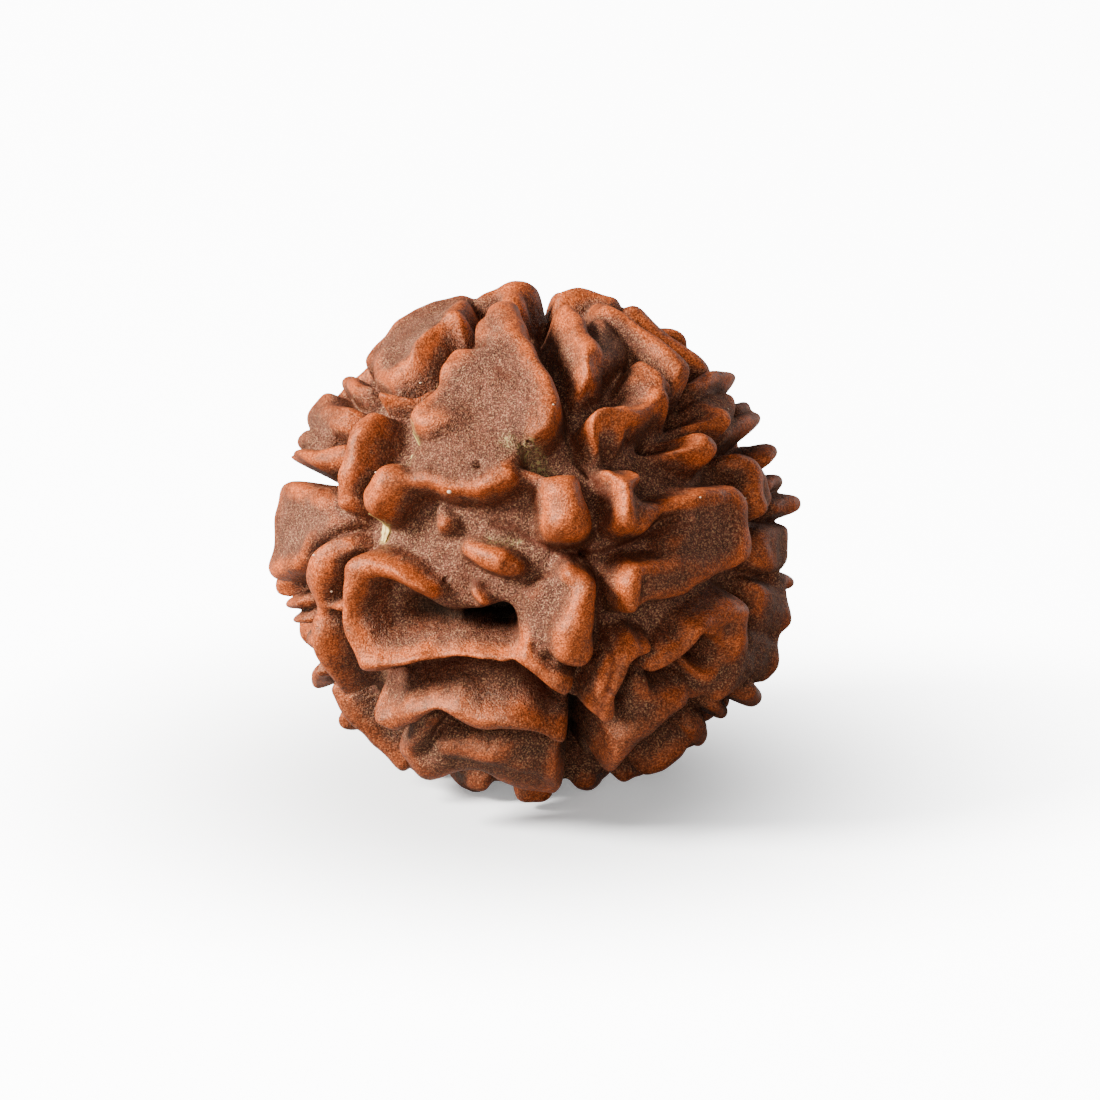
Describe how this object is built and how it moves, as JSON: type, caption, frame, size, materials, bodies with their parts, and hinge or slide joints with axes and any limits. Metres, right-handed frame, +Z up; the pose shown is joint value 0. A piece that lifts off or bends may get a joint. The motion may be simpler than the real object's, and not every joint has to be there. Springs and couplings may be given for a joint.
{
  "type": "rudraksha bead",
  "caption": "Round dried fruit stone with four faces and high winding ridges, resting on the tips of its lowest ridges.",
  "frame": {"origin": "bottom centre of the bounding box, on the surface that the bead rests on", "axes": "+Z up; -Y towards the viewer, whose side holds the pole where the four faces meet; +X to the viewer's right"},
  "size_m": [0.0222, 0.022, 0.0213],
  "materials": {
    "bead_shell": "satin, dusty in the hollows"
  },
  "bodies": {
    "root": {"bead": "bead_shell"}
  },
  "joints": []
}
